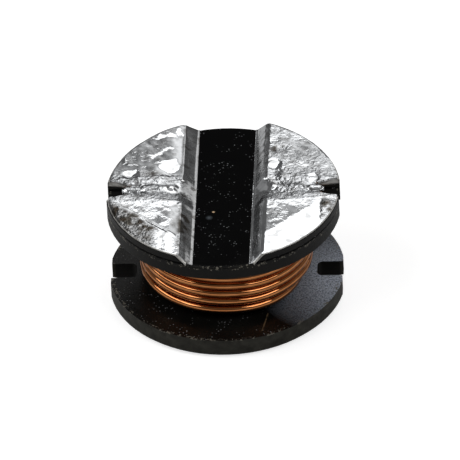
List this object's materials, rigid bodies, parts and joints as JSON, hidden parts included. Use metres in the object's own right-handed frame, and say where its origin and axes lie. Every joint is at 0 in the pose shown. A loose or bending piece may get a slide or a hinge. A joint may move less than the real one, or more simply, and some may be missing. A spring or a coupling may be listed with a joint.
{
  "type": "smd power inductor",
  "caption": "Open surface-mount power inductor: a ferrite drum wound with enamelled copper wire, with a soldered land either side of a groove on its terminal flange.",
  "frame": {"origin": "middle of the plain flange's underside, on the drum's axis", "axes": "+Z along the drum's axis towards the terminal flange; X from one wire notch to the other, across the groove; Y along the groove between the two terminals"},
  "size_m": [0.01, 0.01, 0.0054],
  "materials": {
    "ferrite": "matt sintered ferrite",
    "enamelled_copper": "glossy clear enamel over copper",
    "land_metal": "fired silver, tinned",
    "solder": "bright crinkled solder"
  },
  "bodies": {
    "root": {"drum_core": "ferrite", "winding": "enamelled_copper", "terminal_left": "land_metal", "terminal_right": "land_metal", "solder_left": "solder", "solder_right": "solder"}
  },
  "joints": []
}
